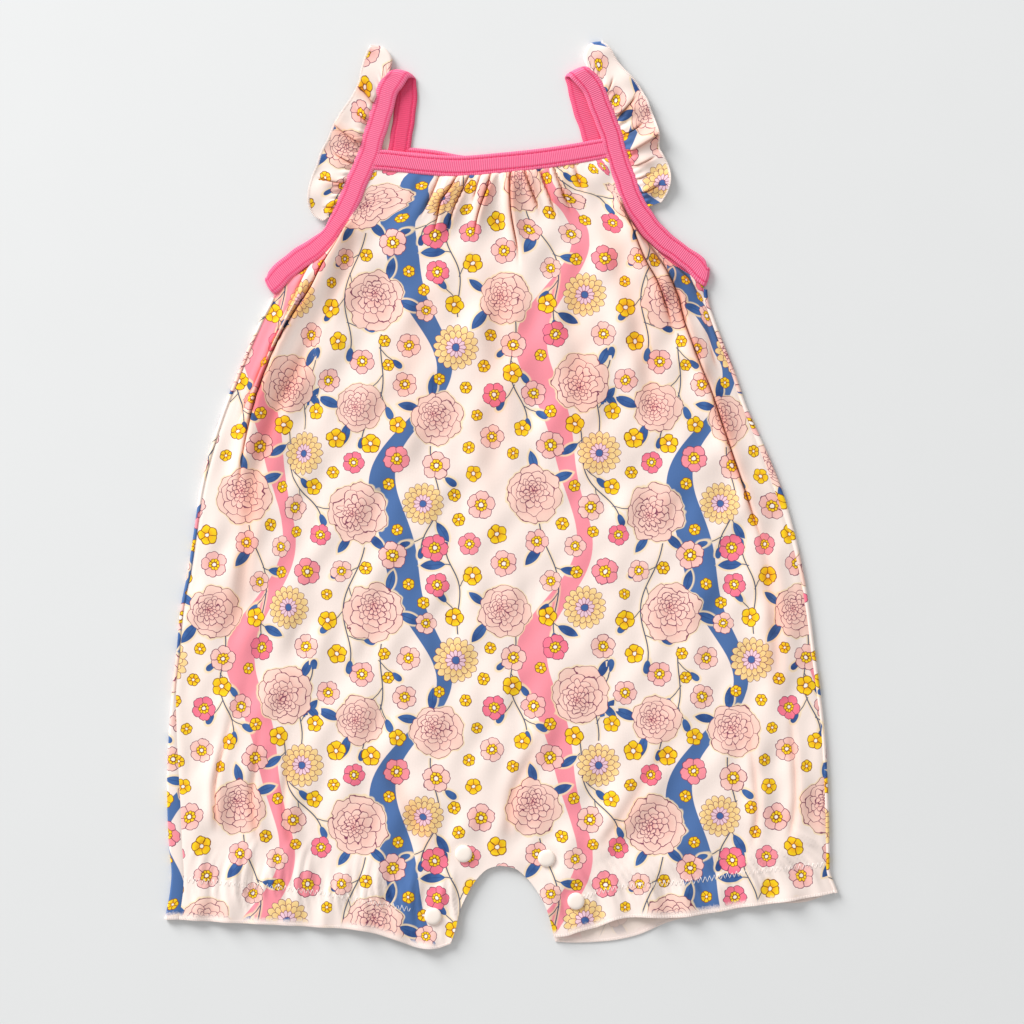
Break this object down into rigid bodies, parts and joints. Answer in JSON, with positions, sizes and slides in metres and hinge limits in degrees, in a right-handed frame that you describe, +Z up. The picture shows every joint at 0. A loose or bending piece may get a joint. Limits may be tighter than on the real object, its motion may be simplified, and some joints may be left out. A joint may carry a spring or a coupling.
{
  "type": "baby romper",
  "caption": "Sleeveless baby romper laid flat on its back, with a gathered neck, rib-bound edges that run on as shoulder straps, shoulder ruffles, elasticated short legs and crotch snaps.",
  "frame": {"origin": "centre of the bounding box's bottom face, on the surface that the romper lies on", "axes": "+X towards the viewer's right of the front, +Y from the legs towards the shoulders, +Z up, out of the romper's front"},
  "size_m": [0.3704, 0.4997, 0.0079],
  "materials": {
    "printed_jersey": "soft cotton jersey with a floral print of pink, yellow, blue and maroon on cream",
    "pink_rib": "bright pink rib knit",
    "snap_cream": "glossy cream snap caps"
  },
  "bodies": {
    "root": {"front_panel": "printed_jersey", "back_panel": "printed_jersey", "ruffle_left": "printed_jersey", "ruffle_right": "printed_jersey", "neck_binding_front": "pink_rib", "neck_binding_back": "pink_rib", "strap_left": "pink_rib", "strap_right": "pink_rib", "snap_1": "snap_cream", "snap_2": "snap_cream", "snap_3": "snap_cream", "snap_4": "snap_cream"}
  },
  "joints": []
}
